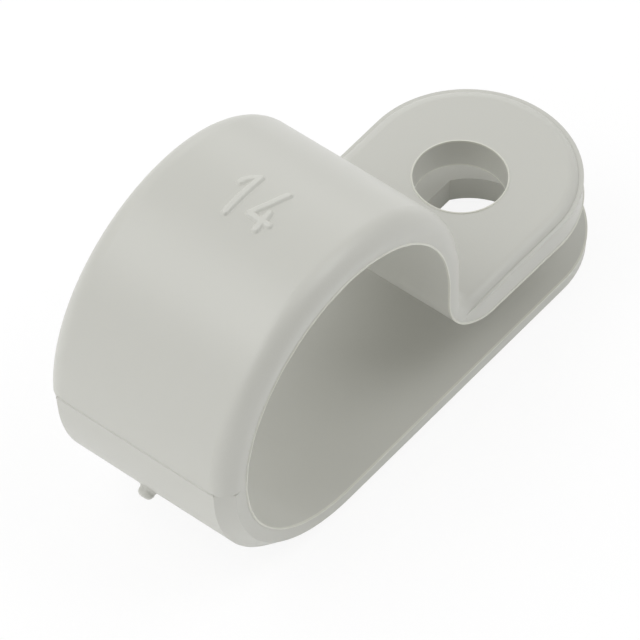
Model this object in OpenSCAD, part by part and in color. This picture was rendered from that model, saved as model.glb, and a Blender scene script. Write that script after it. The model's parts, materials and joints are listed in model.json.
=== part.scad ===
// P clip for a round cable or bundle, injection moulded in one piece.
// A flat foot runs into an open loop, and the loop runs through a neck into an
// upper tab that lies above the foot with a gap. A screw through the tab and the
// foot pulls the gap shut and draws the loop tight.
// X runs along the clip, with the loop on the -X side. Y runs along the cable.
// Z points up from the mounting face. The origin is where the screw's axis
// meets the mounting face.

/* [Band] */
// Width of the band, along the cable
band_w = 12; // [9:0.5:16]
// Thickness of the foot, the loop and the neck
wall_t = 1.6; // [1.4:0.1:2.4]

/* [Loop] */
// Inside diameter of the open loop, before the screw draws it tight
loop_d = 16.4; // [14:0.2:24]
// Distance from the screw's axis to the middle of the loop
loop_reach = 16.9; // [16.5:0.1:24]

/* [Tab] */
// Thickness of the upper tab
tab_t = 1.85; // [1.4:0.05:2.6]
// Open gap between the foot and the upper tab
gap_h = 3.4; // [2.4:0.1:4.2]
// How far beyond the screw's axis the tab's round end is centred
tab_over = 0.65; // [0:0.05:2]
// Radius of the bend from the loop's inner face to the tab's underside
bend_r = 3.9; // [3.4:0.1:4.4]
// Radius in the corner where the neck stands on the tab
root_r = 0.8; // [0.4:0.1:1.2]

/* [Foot] */
// How far beyond the screw's axis the foot's round end is centred
foot_over = 1.45; // [0:0.05:2.5]

/* [Screw holes] */
// Diameter of the round screw hole in the tab
hole_d = 5.1; // [3.2:0.1:6.4]
// Rounding of the screw hole's two rims
rim_r = 0.06; // [0.05:0.01:0.3]
// Width of the foot's screw slot, between its two flat sides
slot_w = 6.2; // [4:0.1:7]
// Radius of the foot slot's two curved ends
slot_end_r = 3.8; // [3.6:0.1:4.4]
// How far beyond the screw's axis the foot slot is centred
slot_over = 1; // [0:0.1:1.5]

/* [Edges] */
// Radius of the outer edges above the parting line
edge_r = 1.15; // [0.6:0.05:1.2]
// Radius of the tab's upper edges
tab_edge_r = 0.7; // [0.3:0.05:1]
// Width of the chamfer below the parting line, seen on the side face
chamfer_t = 0.75; // [0.3:0.05:1]
// Width of that chamfer, seen on the outer face
chamfer_w = 0.85; // [0.3:0.05:1.5]
// Small radius of the inner edges, which the core forms
core_edge_r = 0.06; // [0.05:0.01:0.3]

/* [Mould marks] */
// Radius of the fine rib where the two mould halves meet
parting_r = 0.09; // [0.05:0.01:0.15]
// Diameter of the gate's stub
gate_d = 0.9; // [0.6:0.05:2]
// Height of the gate's stub
gate_h = 0.55; // [0.2:0.05:1]
// Direction of the gate round the loop, up from the +X side
gate_angle = 214; // [200:1:240]
// Distance of the gate from the middle of the band, towards +Y
gate_shift = 0.65; // [0:0.05:2]

/* [Hidden] */
$fn = 96;

cut = 1;                                  // how far a cutter runs past a face
half_w = band_w / 2;
loop_r = loop_d / 2;
loop_x = -loop_reach;
loop_z = wall_t + loop_r;                 // the loop's floor is the foot's top
neck_x = loop_x + loop_r;                 // inner face of the neck
tab_z = wall_t + gap_h;                   // underside of the tab
tab_top = tab_z + tab_t;
bend_x = neck_x + bend_r;                 // axis of the bend
bend_z = tab_z + bend_r;
root_x = neck_x + wall_t + root_r;        // axis of the root's fillet
root_z = tab_top + root_r;
root_t = max(wall_t, tab_t);
gate_sink = wall_t / 3;
gate_round = 0.3;                         // rounding of the stub's tip
gate_flare = 0.16;                        // fillet where the stub leaves the loop

// What rounding takes off a square corner that lies at the origin and fills
// x < 0, y < 0
module corner_waste(r) {
    difference() {
        translate([-r, -r]) square(r + cut);
        translate([-r, -r]) circle(r = r);
    }
}

// Cross-section of the band. x runs from the inner face to the outer one, y is
// the width. kind is "round" or "chamfer" and says how the outer edges are cut.
module section(t, kind, r = edge_r) {
    difference() {
        translate([0, -half_w]) square([t, band_w]);
        for (side = [0, 1]) mirror([0, side]) {
            translate([0, half_w]) mirror([1, 0]) corner_waste(core_edge_r);
            if (kind == "round")
                translate([t, half_w]) corner_waste(r);
            else
                translate([t, half_w])
                    polygon([[-chamfer_t, 0], [-chamfer_t, cut], [cut, cut],
                             [cut, -chamfer_w], [0, -chamfer_w]]);
        }
    }
}

// A stretch of band along the circle with radius r about the Y axis, from
// angle a0 on. Its outer face looks away from the axis.
module arc_band(r, t, kind, a0, sweep) {
    rotate([90, 0, 0]) rotate([0, 0, a0])
        rotate_extrude(angle = sweep) translate([r, 0]) section(t, kind);
}

// A flat strip with a round end centred at x_end. Its inner face is at z = 0
// and its outer face at z = t.
module strip(x_start, x_end, t, kind, r = edge_r) {
    translate([x_end, 0, 0]) {
        rotate([0, -90, 0]) linear_extrude(x_end - x_start) section(t, kind, r);
        rotate([0, 0, -90]) rotate_extrude(angle = 180)
            intersection() {
                mirror([1, -1]) section(t, kind, r);
                square([band_w, t]);
            }
    }
}

// The foot, with its outer face down on the mounting face
module foot() {
    translate([0, 0, wall_t]) mirror([0, 0, 1])
        strip(loop_x, foot_over, wall_t, "chamfer");
}

// Three quarters of a ring: chamfered below the parting line, rounded above it
module loop() {
    translate([loop_x, 0, loop_z]) {
        arc_band(loop_r, wall_t, "chamfer", 180, 90);
        arc_band(loop_r, wall_t, "round", 0, 180);
    }
}

// The straight neck, and the fillet that it stands on
module neck() {
    translate([neck_x, 0, root_z]) linear_extrude(loop_z - root_z) section(wall_t, "round");
    translate([root_x, 0, root_z]) rotate([90, 0, 0]) rotate([0, 0, 180])
        rotate_extrude(angle = 90)
            translate([root_r + root_t, 0]) mirror([1, 0]) section(root_t, "round");
}

// The upper tab, from the root's fillet to its round end
module tab() {
    translate([0, 0, tab_z]) strip(root_x, tab_over, tab_t, "round", tab_edge_r);
}

// What the bend takes off the square corner between the neck and the tab
module bend_waste() {
    translate([bend_x, 0, bend_z]) rotate([90, 0, 0]) {
        difference() {
            translate([-bend_r - cut, -bend_r - cut, -half_w - cut])
                cube([bend_r + cut, bend_r + cut, band_w + 2 * cut]);
            cylinder(r = bend_r, h = 3 * band_w, center = true);
        }
        rotate([0, 0, 180]) rotate_extrude(angle = 90)
            for (side = [0, 1]) mirror([0, side])
                translate([bend_r, half_w]) corner_waste(core_edge_r);
    }
}

// The round screw hole through the tab, with both rims eased
module tab_hole() {
    translate([0, 0, tab_z - cut]) cylinder(d = hole_d, h = tab_t + 2 * cut);
    translate([0, 0, tab_z + tab_t / 2]) for (side = [0, 1]) mirror([0, 0, side])
        rotate_extrude() translate([hole_d / 2, tab_t / 2])
            mirror([1, 0]) corner_waste(rim_r);
}

// The foot's wider slot: two flat sides and two shallow curved ends
module foot_slot() {
    translate([slot_over, 0, -cut]) intersection() {
        cylinder(r = slot_end_r, h = wall_t + 2 * cut);
        translate([-2 * slot_end_r, -slot_w / 2, 0])
            cube([4 * slot_end_r, slot_w, wall_t + 2 * cut]);
    }
}

// The fine rib left where the two mould halves meet
module parting_rib() {
    translate([loop_x - loop_r - wall_t + parting_r / 3, 0, loop_z]) rotate([90, 0, 0])
        cylinder(r = parting_r, h = band_w - 2 * chamfer_w, center = true, $fn = 24);
}

// The broken-off stub of the gate, with a rounded tip and a flare at its foot
module gate_stub() {
    translate([loop_x, gate_shift, loop_z]) rotate([0, -gate_angle, 0])
        translate([loop_r + wall_t - gate_sink, 0, 0]) rotate([0, 90, 0])
            rotate_extrude($fn = 32) {
                difference() {
                    square([gate_d / 2, gate_sink + gate_h]);
                    translate([gate_d / 2, gate_sink + gate_h]) corner_waste(gate_round);
                }
                difference() {
                    square([gate_d / 2 + gate_flare, gate_sink + gate_flare]);
                    translate([gate_d / 2 + gate_flare, gate_sink + gate_flare])
                        circle(r = gate_flare);
                }
            }
}

module clip() {
    color("lightgray") difference() {
        union() {
            foot();
            loop();
            neck();
            tab();
            parting_rib();
            gate_stub();
        }
        bend_waste();
        tab_hole();
        foot_slot();
    }
}

clip();
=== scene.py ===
"""Looks of a P clip: one piece of injection-moulded polyamide with a raised size number on its loop."""

import json
import math
import bpy
from mathutils import Matrix, Vector


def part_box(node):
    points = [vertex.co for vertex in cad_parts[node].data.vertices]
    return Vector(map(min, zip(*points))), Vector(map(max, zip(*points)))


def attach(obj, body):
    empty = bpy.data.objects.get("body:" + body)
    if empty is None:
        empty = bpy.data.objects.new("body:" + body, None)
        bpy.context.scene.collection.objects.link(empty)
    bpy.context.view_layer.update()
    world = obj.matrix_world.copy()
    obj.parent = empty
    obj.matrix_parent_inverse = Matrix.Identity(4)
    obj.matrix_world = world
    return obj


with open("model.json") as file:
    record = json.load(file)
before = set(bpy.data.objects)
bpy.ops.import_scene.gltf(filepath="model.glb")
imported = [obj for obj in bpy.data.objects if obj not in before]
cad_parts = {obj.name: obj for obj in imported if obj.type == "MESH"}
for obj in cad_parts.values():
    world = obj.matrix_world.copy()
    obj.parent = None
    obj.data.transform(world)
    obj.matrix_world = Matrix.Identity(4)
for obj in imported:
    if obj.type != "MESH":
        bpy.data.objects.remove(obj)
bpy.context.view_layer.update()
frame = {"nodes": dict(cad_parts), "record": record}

MM = 0.001
low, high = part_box("clip")
mounts = {mount["name"]: mount for mount in frame["record"]["mounts"]}

# ---- sizes of the clip -----------------------------------------------------------------------

# Places and bores come from the frame. The tab's thickness and the radii are those of the solid.
LOOP_CENTRE = Vector(mounts["cable_loop"]["pos_m"])
LOOP_RADIUS = mounts["cable_loop"]["dims"]["r_mm"] * MM
HOLE_RADIUS = mounts["screw_hole"]["dims"]["r_mm"] * MM
TAB_THICKNESS = 1.85 * MM
BEND_RADIUS = 3.9 * MM                    # of the bend between the neck and the tab's underside
ROOT_RADIUS = 0.8 * MM                    # of the fillet between the neck and the tab's top
LOOP_EDGE = 1.15 * MM                     # rounding of the loop's and the neck's outer edges
TAB_EDGE = 0.7 * MM                       # rounding of the tab's upper edges
TAB_OVER = 0.65 * MM                      # centre of the tab's round end, past the screw's axis

HALF_WIDTH = high.y
FOOT_TOP = LOOP_CENTRE.z - LOOP_RADIUS
FOOT_OVER = high.x - HALF_WIDTH           # centre of the foot's round end
LOOP_OUTER = LOOP_RADIUS + FOOT_TOP       # the loop's wall is as thick as the foot
NECK_X = LOOP_CENTRE.x + LOOP_RADIUS      # inner face of the neck
TAB_UNDER = mounts["screw_hole"]["pos_m"][2] - TAB_THICKNESS / 2
TAB_TOP = TAB_UNDER + TAB_THICKNESS
BEND_X = NECK_X + BEND_RADIUS             # axis of the bend
BEND_Z = TAB_UNDER + BEND_RADIUS
ROOT_X = NECK_X + FOOT_TOP + ROOT_RADIUS  # axis of the fillet

# ---- sizes of what is drawn on it ------------------------------------------------------------

# The thin burr where the mould's core meets its outer halves
BURR_HEIGHT = 0.06 * MM
RIM_BURR_HEIGHT = 0.05 * MM
BURR_THICKNESS = 0.1 * MM
BURR_PROUD = 0.005 * MM                   # how far it stands off the inner face
BURR_SINK = 0.06 * MM                     # how deep its root sits in the wall
BURR_SHOULDER = 0.8                       # height of its two shoulders, as a share of its tip's
BURR_CREST = (0.35, 0.7)                  # places of its tip and outer shoulder across its thickness
BURR_UNEVENNESS = 0.2                     # share of its height that comes and goes
BURR_WAVES = (0.37, 0.11)                 # radians from one station to the next, in its two waves

# The ledge round the tab, where the upper mould half was a little smaller than the lower one
LEDGE_HEIGHT = 1.47 * MM                  # of the ledge above the tab's underside
LEDGE_START = 0.08 * MM                   # how far it stands out beside the neck
LEDGE_END = 0.2 * MM                      # how far it stands out at the tab's end
LEDGE_RUN_IN = 1.6 * MM                   # length over which it rises out of the neck's side
LEDGE_DIP = 0.01 * MM                     # how far under the side face it starts
LEDGE_ROOT = 0.3 * MM                     # how deep its root sits in the tab
LEDGE_CORNER = 0.02 * MM                  # bevel along its upper corner
LEDGE_STEPS = 40                          # along one side of the tab

# The blends where the tab's small rounding meets the neck's larger one
BLEND_ROWS = 12                           # round the fillet
BLEND_COLUMNS = 10                        # round the edge
BLEND_EXTRA = 0.05 * MM                   # its radius ends this much larger, under the neck's edge
BLEND_RUN_ON = 0.05 * MM                  # how far its outer edge runs on down the side face
BLEND_TUCK = 0.02 * MM                    # how deep that edge ends in the side face
BLEND_MARGIN = 0.1 * MM                   # of flat top inside the rounding, and again to its end
BLEND_DIP = 0.03 * MM                     # how deep its inner edge ends under the top

# The raised size number. Its strokes are drawn in mm on the loop's unrolled surface: the first
# value runs in reading direction from the middle of the band, the second up from the baseline.
NUMBER_STROKES = [
    [(-1.52, 2.08), (-1.43, 2.36), (-1.24, 2.66), (-0.91, 3.0)],
    [(-0.91, 3.0), (-0.87, 0.1)],
    [(0.92, 2.95), (0.58, 1.8), (0.17, 0.76), (1.44, 0.72)],
    [(0.97, 1.33), (1.06, 0.14)],
]
NUMBER_BASELINE = -1.44                   # from the top of the loop, along its surface
STROKE_HEIGHT = 0.13
STROKE_FLAT = 0.09                        # half width of a stroke's flat top
STROKE_FOOT = 0.28                        # half width of a stroke where it leaves the loop
NUMBER_STEP = 0.035                       # spacing of the number's mesh
NUMBER_SINK = 0.02                        # how far the mesh dips under the loop beside a stroke


# ---- small helpers ---------------------------------------------------------------------------

def linear(hex_colour):
    """An sRGB hex colour as linear RGBA."""
    parts = [int(hex_colour[i:i + 2], 16) / 255 for i in (1, 3, 5)]
    return [p / 12.92 if p <= 0.04045 else ((p + 0.055) / 1.055) ** 2.4 for p in parts] + [1.0]


def add_node(tree, kind, settings=None, **links):
    """Adds a node. settings holds properties and input values by name, links its linked inputs."""
    made = tree.nodes.new(kind)
    for name, value in (settings or {}).items():
        if name in made.inputs:
            made.inputs[name].default_value = value
        else:
            setattr(made, name, value)
    for name, source in links.items():
        tree.links.new(source, made.inputs[name])
    return made


def new_material(name):
    made = bpy.data.materials.new(name)
    made.use_nodes = True
    made.node_tree.nodes.clear()
    return made, made.node_tree


def smooth_step(share):
    share = min(max(share, 0.0), 1.0)
    return share * share * (3 - 2 * share)


def arc(first, last, step=3.0):
    """Cosine and sine at even steps from one angle in degrees to another."""
    count = max(2, round(abs(last - first) / step))
    for i in range(count + 1):
        angle = math.radians(first + (last - first) * i / count)
        yield math.cos(angle), math.sin(angle)


def add_piece(name, points, faces, material, smooth=True):
    """A piece that rides on the clip, in the finish that it is given."""
    mesh = bpy.data.meshes.new(name)
    mesh.from_pydata(points, [], faces)
    mesh.polygons.foreach_set("use_smooth", [smooth] * len(faces))
    mesh.materials.append(material)
    piece = bpy.data.objects.new(name, mesh)
    bpy.context.scene.collection.objects.link(piece)
    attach(piece, "root")


def skin_faces(sections, sides, closed):
    """Faces between closed sections that follow each other, or between the last and first too."""
    faces = []
    for i in range(sections if closed else sections - 1):
        here, there = i * sides, (i + 1) % sections * sides
        for k in range(sides):
            following = (k + 1) % sides
            faces.append([here + following, here + k, there + k, there + following])
    return faces


# ---- camera ----------------------------------------------------------------------------------

CAMERA_AZIMUTH = -50.839
CAMERA_ELEVATION = 49.637
CAMERA_ROLL = -0.367
CAMERA_DISTANCE = 296.6 * MM
CAMERA_LENS = 315.2
CAMERA_AIM = Vector((-9.562, 1.873, 2.521)) * MM


def add_camera():
    a, e, r = (math.radians(x) for x in (CAMERA_AZIMUTH, CAMERA_ELEVATION, CAMERA_ROLL))
    back = Vector((math.sin(a) * math.cos(e), -math.cos(a) * math.cos(e), math.sin(e)))
    right = Vector((math.cos(a), math.sin(a), 0))
    up = back.cross(right)
    across = right * math.cos(r) + up * math.sin(r)
    upward = up * math.cos(r) - right * math.sin(r)
    data = bpy.data.cameras.new("camera")
    data.lens = CAMERA_LENS
    data.sensor_width = 36
    data.clip_start, data.clip_end = 0.01, 10
    camera = bpy.data.objects.new("camera", data)
    camera.matrix_world = Matrix((across, upward, back)).transposed().to_4x4()
    camera.location = CAMERA_AIM + back * CAMERA_DISTANCE
    bpy.context.scene.collection.objects.link(camera)
    bpy.context.scene.camera = camera


# ---- studio ----------------------------------------------------------------------------------

LAMP_DISTANCE = 0.35

# Name, azimuth and elevation in degrees, width and height in metres, watts
LAMPS = [
    ("left softbox", 134, 55, (0.2, 0.2), 0.204),
    ("right softbox", 309, 55, (0.2, 0.2), 0.259),
    ("front left panel", 174, 43, (0.2, 0.2), 0.193),
    ("back left panel", 94, 42, (0.2, 0.2), 0.045),
    ("back panel", 40, 25, (0.2, 0.2), 0.105),
    ("left end wall", 180, 9, (0.3, 0.1), 0.083),
    ("right wall", 309, 12, (0.3, 0.1), 0.06),
    ("front wall", 219, 9, (0.3, 0.1), 0.03),
]


def add_lamp(name, azimuth, elevation, size, watts):
    a, e = math.radians(azimuth), math.radians(elevation)
    away = Vector((math.cos(a) * math.cos(e), math.sin(a) * math.cos(e), math.sin(e)))
    data = bpy.data.lights.new(name, "AREA")
    data.shape = "RECTANGLE"
    data.size, data.size_y = size
    data.energy = watts
    lamp = bpy.data.objects.new(name, data)
    lamp.location = (low + high) / 2 + away * LAMP_DISTANCE
    lamp.rotation_mode = "QUATERNION"
    lamp.rotation_quaternion = away.to_track_quat("Z", "Y")
    bpy.context.scene.collection.objects.link(lamp)


TENT_LEVEL = 0.66                         # what the white tent gives
OPENING_LEVEL = 0.08                      # what comes in through its open front
TENT_OPENING = Vector((-0.6, -0.75, 0.28))
OPENING_INNER = 0.9                       # cosines between which the opening turns into tent
OPENING_OUTER = 0.3


def add_tent():
    """A white tent with an open front. Seen directly it is plain white, whatever light it gives."""
    world = bpy.data.worlds.new("white tent")
    world.use_nodes = True
    bpy.context.scene.world = world
    tree = world.node_tree
    tree.nodes.clear()
    direction = add_node(tree, "ShaderNodeTexCoord").outputs["Generated"]
    toward = add_node(tree, "ShaderNodeVectorMath", {"operation": "DOT_PRODUCT"})
    tree.links.new(direction, toward.inputs[0])
    toward.inputs[1].default_value = TENT_OPENING.normalized()
    level = add_node(tree, "ShaderNodeMapRange", {
        "interpolation_type": "SMOOTHSTEP", "From Min": OPENING_OUTER, "From Max": OPENING_INNER,
        "To Min": TENT_LEVEL, "To Max": OPENING_LEVEL}, Value=toward.outputs["Value"])
    tent = add_node(tree, "ShaderNodeBackground", {"Color": (1, 1, 1, 1)}, Strength=level.outputs["Result"])
    seen = add_node(tree, "ShaderNodeBackground", {"Color": (1, 1, 1, 1), "Strength": 1.0})
    path = add_node(tree, "ShaderNodeLightPath")
    mix = add_node(tree, "ShaderNodeMixShader", Fac=path.outputs["Is Camera Ray"])
    tree.links.new(tent.outputs[0], mix.inputs[1])
    tree.links.new(seen.outputs[0], mix.inputs[2])
    add_node(tree, "ShaderNodeOutputWorld", Surface=mix.outputs[0])


TABLE_HALF = 2.0                          # half of the table's side
TABLE_GAP = 0.02 * MM                     # keeps the table's face off the clip's underside
TABLE_WHITE = 0.85                        # share of the seen table that is plain white
TABLE_GLOW = 0.16                         # what the table, lit from below, gives to the clip


def white_table():
    """White acrylic, lit a little from below. It is seen as near white and keeps a faint shadow."""
    made, tree = new_material("white acrylic table")
    board = add_node(tree, "ShaderNodeBsdfDiffuse", {"Color": linear("#f4f4f4")})
    glow = add_node(tree, "ShaderNodeEmission", {"Color": (1, 1, 1, 1), "Strength": TABLE_GLOW})
    lit = add_node(tree, "ShaderNodeAddShader")
    tree.links.new(board.outputs[0], lit.inputs[0])
    tree.links.new(glow.outputs[0], lit.inputs[1])
    white = add_node(tree, "ShaderNodeEmission", {"Color": (1, 1, 1, 1), "Strength": 1.0})
    path = add_node(tree, "ShaderNodeLightPath")
    share = add_node(tree, "ShaderNodeMath", {"operation": "MULTIPLY"})
    tree.links.new(path.outputs["Is Camera Ray"], share.inputs[0])
    share.inputs[1].default_value = TABLE_WHITE
    mix = add_node(tree, "ShaderNodeMixShader", Fac=share.outputs[0])
    tree.links.new(lit.outputs[0], mix.inputs[1])
    tree.links.new(white.outputs[0], mix.inputs[2])
    add_node(tree, "ShaderNodeOutputMaterial", Surface=mix.outputs[0])
    return made


def add_table():
    mesh = bpy.data.meshes.new("table")
    corners = [(x * TABLE_HALF, y * TABLE_HALF, 0) for x, y in ((-1, -1), (1, -1), (1, 1), (-1, 1))]
    mesh.from_pydata(corners, [], [(0, 1, 2, 3)])
    mesh.materials.append(white_table())
    table = bpy.data.objects.new("table", mesh)
    table.location.z = low.z - TABLE_GAP
    bpy.context.scene.collection.objects.link(table)


# ---- material --------------------------------------------------------------------------------

WALL_GREY = "#c8c8c1"
BURR_HIGHLIGHT_GREY = "#d8d8ce"                     # painted highlight: the burrs are drawn paler so that their edges show bright
NUMBER_HIGHLIGHT_GREY = "#d0d0c9"                   # painted highlight: the number's ridges are drawn paler, for light along their crests

REFRACTION = 1.53
ROUGHNESS_LOW = 0.31
ROUGHNESS_HIGH = 0.39
GLOSS_DRIFT = 3.0 * MM                    # width over which the gloss wanders between the two
GRAIN_WIDTH = 0.12 * MM                   # the eroded steel's grain, drawn as coarse as it needs to show
GRAIN_DEPTH = 0.004 * MM


def moulded_polyamide(name, colour):
    """Light grey polyamide from a spark-eroded mould. Its fine grain breaks up the reflections of
    the lamps into a satin sheen, and the gloss wanders a little from place to place."""
    made, tree = new_material(name)
    place = add_node(tree, "ShaderNodeTexCoord").outputs["Object"]
    grain = add_node(tree, "ShaderNodeTexNoise", {"Scale": 1 / GRAIN_WIDTH, "Detail": 2.0}, Vector=place)
    bump = add_node(tree, "ShaderNodeBump", {"Strength": 1.0, "Distance": GRAIN_DEPTH},
                    Height=grain.outputs["Fac"])
    drift = add_node(tree, "ShaderNodeTexNoise", {"Scale": 1 / GLOSS_DRIFT, "Detail": 3.0}, Vector=place)
    gloss = add_node(tree, "ShaderNodeMapRange", {"To Min": ROUGHNESS_LOW, "To Max": ROUGHNESS_HIGH},
                     Value=drift.outputs["Fac"])
    shader = add_node(tree, "ShaderNodeBsdfPrincipled", {
        "Base Color": linear(colour), "IOR": REFRACTION},
        Roughness=gloss.outputs["Result"], Normal=bump.outputs["Normal"])
    add_node(tree, "ShaderNodeOutputMaterial", Surface=shader.outputs[0])
    return made


# ---- raised size number ----------------------------------------------------------------------

def distance_to_line(point, start, end):
    along = end - start
    share = max(0.0, min(1.0, (point - start).dot(along) / along.length_squared))
    return (point - start - along * share).length


def number_rise(spot, lines):
    """Height of the number above the loop, in mm: rounded ridges that run into each other."""
    gap = min(distance_to_line(spot, start, end) for start, end in lines)
    share = smooth_step((STROKE_FOOT - gap) / (STROKE_FOOT - STROKE_FLAT))
    return share * (STROKE_HEIGHT + NUMBER_SINK) - NUMBER_SINK


def on_loop(across, along, rise):
    """A place on the loop's outside, from three lengths in mm: in reading direction across the
    band, along the surface from the loop's top, and above the surface."""
    angle = along * MM / LOOP_OUTER
    radius = LOOP_OUTER + rise * MM
    return (LOOP_CENTRE.x + radius * math.sin(angle), -across * MM,
            LOOP_CENTRE.z + radius * math.cos(angle))


def add_size_number(material):
    """Engraved in the mould, and so raised on the clip."""
    lines = [(Vector(a), Vector(b)) for stroke in NUMBER_STROKES for a, b in zip(stroke, stroke[1:])]
    ends = [end for line in lines for end in line]
    left = min(end.x for end in ends) - STROKE_FOOT - NUMBER_STEP
    bottom = min(end.y for end in ends) - STROKE_FOOT - NUMBER_STEP
    columns = math.ceil((max(end.x for end in ends) + STROKE_FOOT - left) / NUMBER_STEP) + 2
    rows = math.ceil((max(end.y for end in ends) + STROKE_FOOT - bottom) / NUMBER_STEP) + 2
    spots = {(row, column): Vector((left + column * NUMBER_STEP, bottom + row * NUMBER_STEP))
             for row in range(rows) for column in range(columns)}
    rises = {key: number_rise(spot, lines) for key, spot in spots.items()}
    points, used, faces = [], {}, []
    for row in range(rows - 1):
        for column in range(columns - 1):
            corners = [(row, column), (row, column + 1), (row + 1, column + 1), (row + 1, column)]
            if all(rises[corner] <= -NUMBER_SINK for corner in corners):
                continue
            for corner in corners:
                if corner not in used:
                    used[corner] = len(points)
                    spot = spots[corner]
                    points.append(on_loop(spot.x, NUMBER_BASELINE + spot.y, rises[corner]))
            faces.append([used[corner] for corner in corners])
    add_piece("size_number", points, faces, material)


# ---- ledge round the tab ---------------------------------------------------------------------

# A station is a place on an edge, the way out of the wall's face and the way into the wall.

def underside(x):
    """Height of the tab's underside, which turns up into the bend towards the neck."""
    into_bend = max(0.0, BEND_X - x)
    return BEND_Z - math.sqrt(BEND_RADIUS ** 2 - into_bend ** 2)


def ledge_width(x):
    """How far the ledge stands out of the side face. Before its run-in it is under that face."""
    share = smooth_step((x - ROOT_X) / (high.x - ROOT_X))
    run_in = smooth_step((x - ROOT_X) / LEDGE_RUN_IN + 0.5)
    return (LEDGE_START + (LEDGE_END - LEDGE_START) * share) * run_in - LEDGE_DIP * (1 - run_in)


def tab_side_stations(side):
    """Along the tab's underside, from the neck to the start of the round end."""
    start = ROOT_X - LEDGE_RUN_IN / 2
    out, up = Vector((0, side, 0)), Vector((0, 0, 1))
    places = [start + (TAB_OVER - start) * i / LEDGE_STEPS for i in range(LEDGE_STEPS)]
    return [(Vector((x, side * HALF_WIDTH, underside(x))), out, up) for x in places]


def end_stations(over, height, into, first, last):
    """Round the half-round end of the foot or the tab. over is the place of its axis."""
    axis, into = Vector((over, 0, height)), Vector((0, 0, into))
    outs = [Vector((c, s, 0)) for c, s in arc(first, last)]
    return [(axis + out * HALF_WIDTH, out, into) for out in outs]


def add_tab_ledge(material):
    """A thin skin round the lower part of the tab. Its top is the ledge, which catches the light."""
    around = tab_side_stations(-1) + end_stations(TAB_OVER, TAB_UNDER, 1, -90, 90)
    around += tab_side_stations(1)[::-1]
    points = []
    for place, out, up in around:
        width = ledge_width(place.x)
        height = TAB_UNDER + LEDGE_HEIGHT - place.z
        section = [(0.0, -LEDGE_ROOT), (0.0, width), (height - LEDGE_CORNER, width),
                   (height, width - LEDGE_CORNER), (height, -LEDGE_ROOT)]
        points += [place + up * rise + out * outward for rise, outward in section]
    sides = len(section)
    faces = skin_faces(len(around), sides, closed=False)
    faces.append(list(range(sides)))
    faces.append([len(points) - 1 - k for k in range(sides)])
    add_piece("tab_ledge", points, faces, material, smooth=False)


# ---- burrs -----------------------------------------------------------------------------------

def side_stations(side):
    """Along the inner edge of a side face, from the foot's end round the loop to the tab's end."""
    out = Vector((0, side, 0))
    edge = out * HALF_WIDTH
    bend = Vector((BEND_X, 0, BEND_Z))
    stations = [(edge + Vector((FOOT_OVER, 0, FOOT_TOP)), out, Vector((0, 0, -1)))]
    for c, s in arc(270, 0, 1.0):
        stations.append((edge + LOOP_CENTRE + Vector((c, 0, s)) * LOOP_RADIUS, out, Vector((c, 0, s))))
    for c, s in arc(180, 270):
        stations.append((edge + bend + Vector((c, 0, s)) * BEND_RADIUS, out, Vector((-c, 0, -s))))
    stations.append((edge + Vector((TAB_OVER, 0, TAB_UNDER)), out, Vector((0, 0, 1))))
    return stations


def add_burr(name, stations, height, material):
    """A thin fin all along the stations. Two waves of unlike length make its height uneven."""
    short, long = BURR_WAVES
    crest, shoulder = (BURR_THICKNESS * share for share in BURR_CREST)
    points = []
    for i, (place, out, into) in enumerate(stations):
        tip = height * (1 + BURR_UNEVENNESS * math.sin(i * short) * math.sin(i * long + 1.0))
        side = tip * BURR_SHOULDER
        section = [(-BURR_PROUD, -BURR_SINK), (-BURR_PROUD, side), (crest, tip), (shoulder, side),
                   (BURR_THICKNESS, 0.0), (BURR_THICKNESS, -BURR_SINK)]
        points += [place + into * inward + out * outward for inward, outward in section]
    faces = skin_faces(len(stations), len(section), closed=True)
    add_piece(name, points, faces, material, smooth=False)


def add_core_burr(material):
    """One burr round both side faces and both ends. Round the tab it sits on the ledge's skin."""
    around = side_stations(-1) + end_stations(TAB_OVER, TAB_UNDER, 1, -90, 90)
    around += side_stations(1)[::-1]
    gap_middle = (FOOT_TOP + TAB_UNDER) / 2
    around = [(place + out * max(0.0, ledge_width(place.x)) * (place.z > gap_middle), out, into)
              for place, out, into in around]
    around += end_stations(FOOT_OVER, FOOT_TOP, -1, 90, -90)
    add_burr("core_burr", around, BURR_HEIGHT, material)


def add_rim_burr(name, height, up, material):
    """A burr round one rim of the screw hole."""
    ring = [(Vector((HOLE_RADIUS * c, HOLE_RADIUS * s, height)), Vector((0, 0, up)), Vector((c, s, 0)))
            for c, s in arc(0, 357)]
    add_burr(name, ring, RIM_BURR_HEIGHT, material)


# ---- blends beside the neck's root -----------------------------------------------------------

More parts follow.
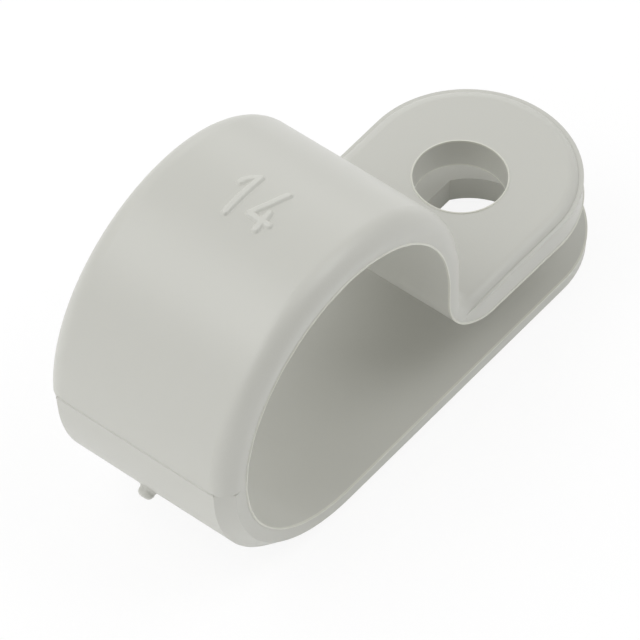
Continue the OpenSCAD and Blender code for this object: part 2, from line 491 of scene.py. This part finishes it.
def blend_profile(radius):
    """A rounded edge, as pairs of how far in from the side face and how deep under the top."""
    profile = [(BLEND_TUCK, radius + BLEND_RUN_ON)]
    profile += [(radius * (1 - c), radius * (1 - s)) for c, s in arc(0, 90, 90 / BLEND_COLUMNS)]
    profile += [(LOOP_EDGE + BLEND_MARGIN, 0.0), (LOOP_EDGE + 2 * BLEND_MARGIN, BLEND_DIP)]
    return profile


def add_root_blend(name, side, material):
    """Along the neck's fillet, where the tab's small rounding grows into the neck's larger one."""
    axis = Vector((ROOT_X, 0, TAB_TOP + ROOT_RADIUS))
    points, faces = [], []
    for row in range(BLEND_ROWS + 1):
        share = row / BLEND_ROWS
        angle = math.radians(270 - 90 * share)
        outward = Vector((math.cos(angle), 0, math.sin(angle)))
        profile = blend_profile(TAB_EDGE + (LOOP_EDGE + BLEND_EXTRA - TAB_EDGE) * smooth_step(share))
        for inset, depth in profile:
            across = Vector((0, side * (HALF_WIDTH - inset), 0))
            points.append(axis + across + outward * (ROOT_RADIUS + depth))
    width = len(profile)
    for row in range(BLEND_ROWS):
        for column in range(width - 1):
            corner = row * width + column
            face = [corner, corner + 1, corner + width + 1, corner + width]
            faces.append(face if side > 0 else face[::-1])
    add_piece(name, points, faces, material)


# ---- scene -----------------------------------------------------------------------------------

add_camera()
add_tent()
add_table()
for lamp in LAMPS:
    add_lamp(*lamp)

polyamide = moulded_polyamide("moulded polyamide", WALL_GREY)
# The burrs carry a painted highlight: their grey is paler than the wall's.
burr_highlight_polyamide = moulded_polyamide("moulded polyamide, burr with painted highlight", BURR_HIGHLIGHT_GREY)
# The number carries a painted highlight: its grey is paler than the wall's.
number_highlight_polyamide = moulded_polyamide("moulded polyamide, number with painted highlight", NUMBER_HIGHLIGHT_GREY)
clip = frame["nodes"]["clip"]
clip.data.materials.clear()
clip.data.materials.append(polyamide)
add_size_number(number_highlight_polyamide)
add_core_burr(burr_highlight_polyamide)
add_rim_burr("hole_upper_burr", TAB_TOP, 1, burr_highlight_polyamide)
add_rim_burr("hole_lower_burr", TAB_UNDER, -1, burr_highlight_polyamide)
add_tab_ledge(polyamide)
add_root_blend("root_blend_front", -1, polyamide)
add_root_blend("root_blend_back", 1, polyamide)

bpy.context.scene.view_settings.view_transform = "Standard"
